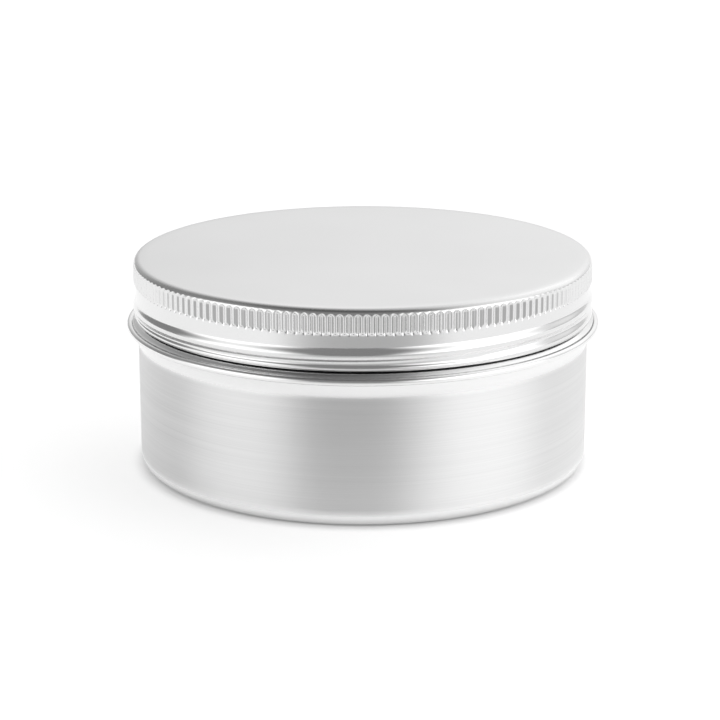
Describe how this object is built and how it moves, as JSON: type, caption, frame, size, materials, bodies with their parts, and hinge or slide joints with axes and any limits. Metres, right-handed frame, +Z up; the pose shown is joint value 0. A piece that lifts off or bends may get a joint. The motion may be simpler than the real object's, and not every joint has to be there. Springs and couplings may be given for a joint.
{
  "type": "screw lid tin",
  "caption": "Shallow round aluminium tin with a knurled screw lid, a rolled bead under the lid and a foam liner inside it.",
  "frame": {"origin": "middle of the flat ring that the can stands on, on the table", "axes": "+Z up along the axis of the can and the lid, the front of the picture faces -Y, +X to the right in it"},
  "size_m": [0.0828, 0.0828, 0.037],
  "materials": {
    "can_metal": "satin with fine brushed streaks around the wall",
    "lid_metal": "satin top, brighter rolled skirt",
    "liner_foam": "closed-cell foam, matte white"
  },
  "bodies": {
    "can": {"can_body": "can_metal"},
    "liner": {"lid_liner": "liner_foam"},
    "lid": {"lid_shell": "lid_metal"}
  },
  "joints": [
    {"name": "lid_lift", "type": "slide", "parent": "can", "child": "liner", "axis": [0, 0, 1], "range_m": [0, 0.0102]},
    {"name": "lid_turn", "type": "hinge", "parent": "liner", "child": "lid", "pos_m": [0, 0, 0.03], "axis": [0, 0, 1], "range_deg": [0, 1530]}
  ],
  "couplings": [
    {"joint": "lid_lift", "follows": "lid_turn", "m_per_rad": 0.00038197}
  ]
}
